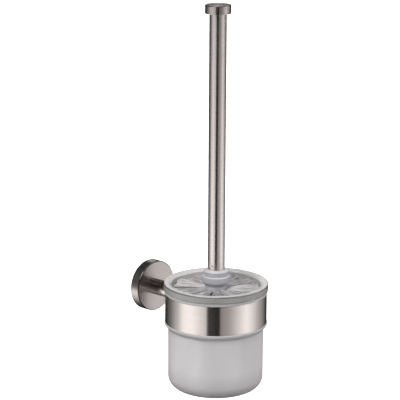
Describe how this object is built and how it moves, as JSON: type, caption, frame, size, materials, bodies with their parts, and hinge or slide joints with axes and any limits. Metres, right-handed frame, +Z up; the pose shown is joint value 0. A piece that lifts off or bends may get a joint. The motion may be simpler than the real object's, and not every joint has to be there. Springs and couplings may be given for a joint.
{
  "type": "wall-mounted toilet brush holder",
  "caption": "Round wall plate and post carrying a steel ring with a plastic liner, a frosted glass cup with a flanged mouth, and a brush with a straight tube handle and end knob.",
  "frame": {"origin": "centre of the wall plate's back, on the wall", "axes": "+Z up along the brush handle, +Y into the wall, so the cup stands out along -Y"},
  "size_m": [0.1044, 0.1472, 0.3876],
  "materials": {
    "satin_steel": "satin",
    "bracket_steel": "satin",
    "screw_steel": "satin",
    "frosted_glass": "matte",
    "liner_plastic": "satin",
    "white_plastic": "satin",
    "nylon_bristle": "matte"
  },
  "bodies": {
    "holder": {"wall_bracket": "bracket_steel", "rosette": "satin_steel", "rosette_grub_screw": "screw_steel", "post": "satin_steel", "post_screw": "screw_steel", "band_screw": "screw_steel", "holder_band": "satin_steel", "liner_sleeve": "liner_plastic"},
    "cup": {"glass_cup": "frosted_glass"},
    "brush": {"handle_tube": "satin_steel", "handle_knob": "satin_steel", "handle_collar": "white_plastic", "collar_screw": "screw_steel", "brush_core": "white_plastic", "bristle_row_1": "nylon_bristle", "bristle_row_2": "nylon_bristle", "bristle_row_3": "nylon_bristle", "bristle_row_4": "nylon_bristle", "bristle_row_5": "nylon_bristle", "bristle_row_6": "nylon_bristle", "bristle_row_7": "nylon_bristle", "bristle_row_8": "nylon_bristle", "bristle_end_ring_outer": "nylon_bristle", "bristle_end_ring_inner": "nylon_bristle", "bristle_end_tuft": "nylon_bristle"}
  },
  "joints": [
    {"name": "cup_lift", "type": "slide", "parent": "holder", "child": "cup", "axis": [0, 0, 1], "range_m": [0, 0.12]},
    {"name": "brush_lift", "type": "slide", "parent": "cup", "child": "brush", "axis": [0, 0, 1], "range_m": [0, 0.15]}
  ]
}
